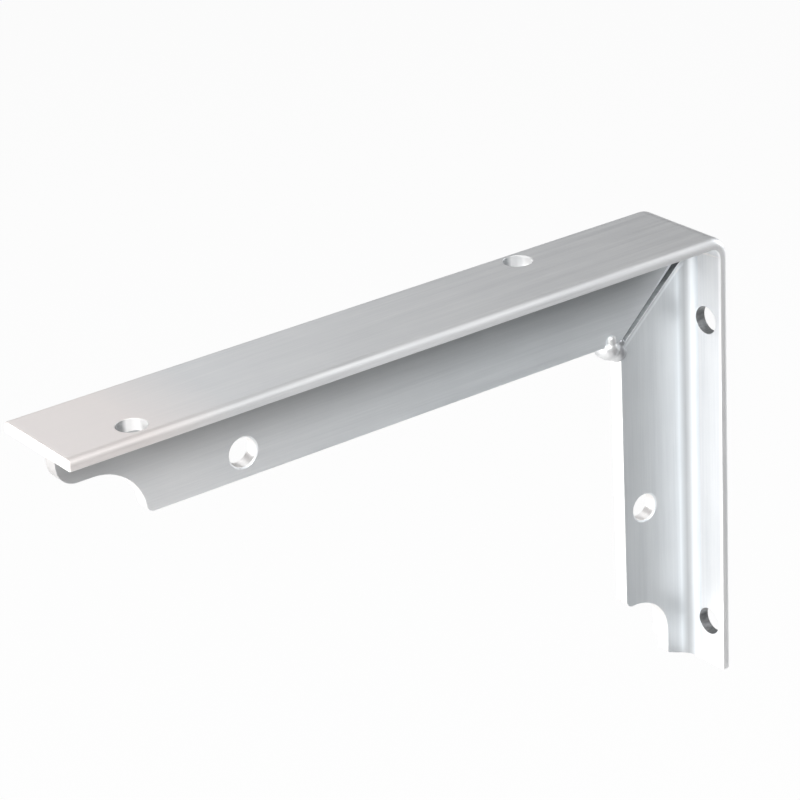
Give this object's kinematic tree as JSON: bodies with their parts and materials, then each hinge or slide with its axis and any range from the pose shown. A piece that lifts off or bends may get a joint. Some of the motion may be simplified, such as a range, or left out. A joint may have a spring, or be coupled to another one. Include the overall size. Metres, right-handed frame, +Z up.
{
  "type": "shelf bracket",
  "caption": "Right-angle shelf bracket bent from a T-section aluminium bar, with a mitred web welded at the inner corner, scalloped web ends and screw holes.",
  "frame": {"origin": "on the wall face, at mid-width on the web's middle plane, midway between the heights of the two wall screws", "axes": "+Z up, out of the shelf face; +X out of the wall face, into the wall, so the arm runs towards -X; +Y across the bracket, away from the pictured side"},
  "size_m": [0.15, 0.0226, 0.0973],
  "materials": {
    "satin_bar": "satin, brushed along the bar",
    "weld_metal": "bright as-welded metal"
  },
  "bodies": {
    "root": {"bent_t_bar": "satin_bar", "corner_weld": "weld_metal"}
  },
  "joints": []
}
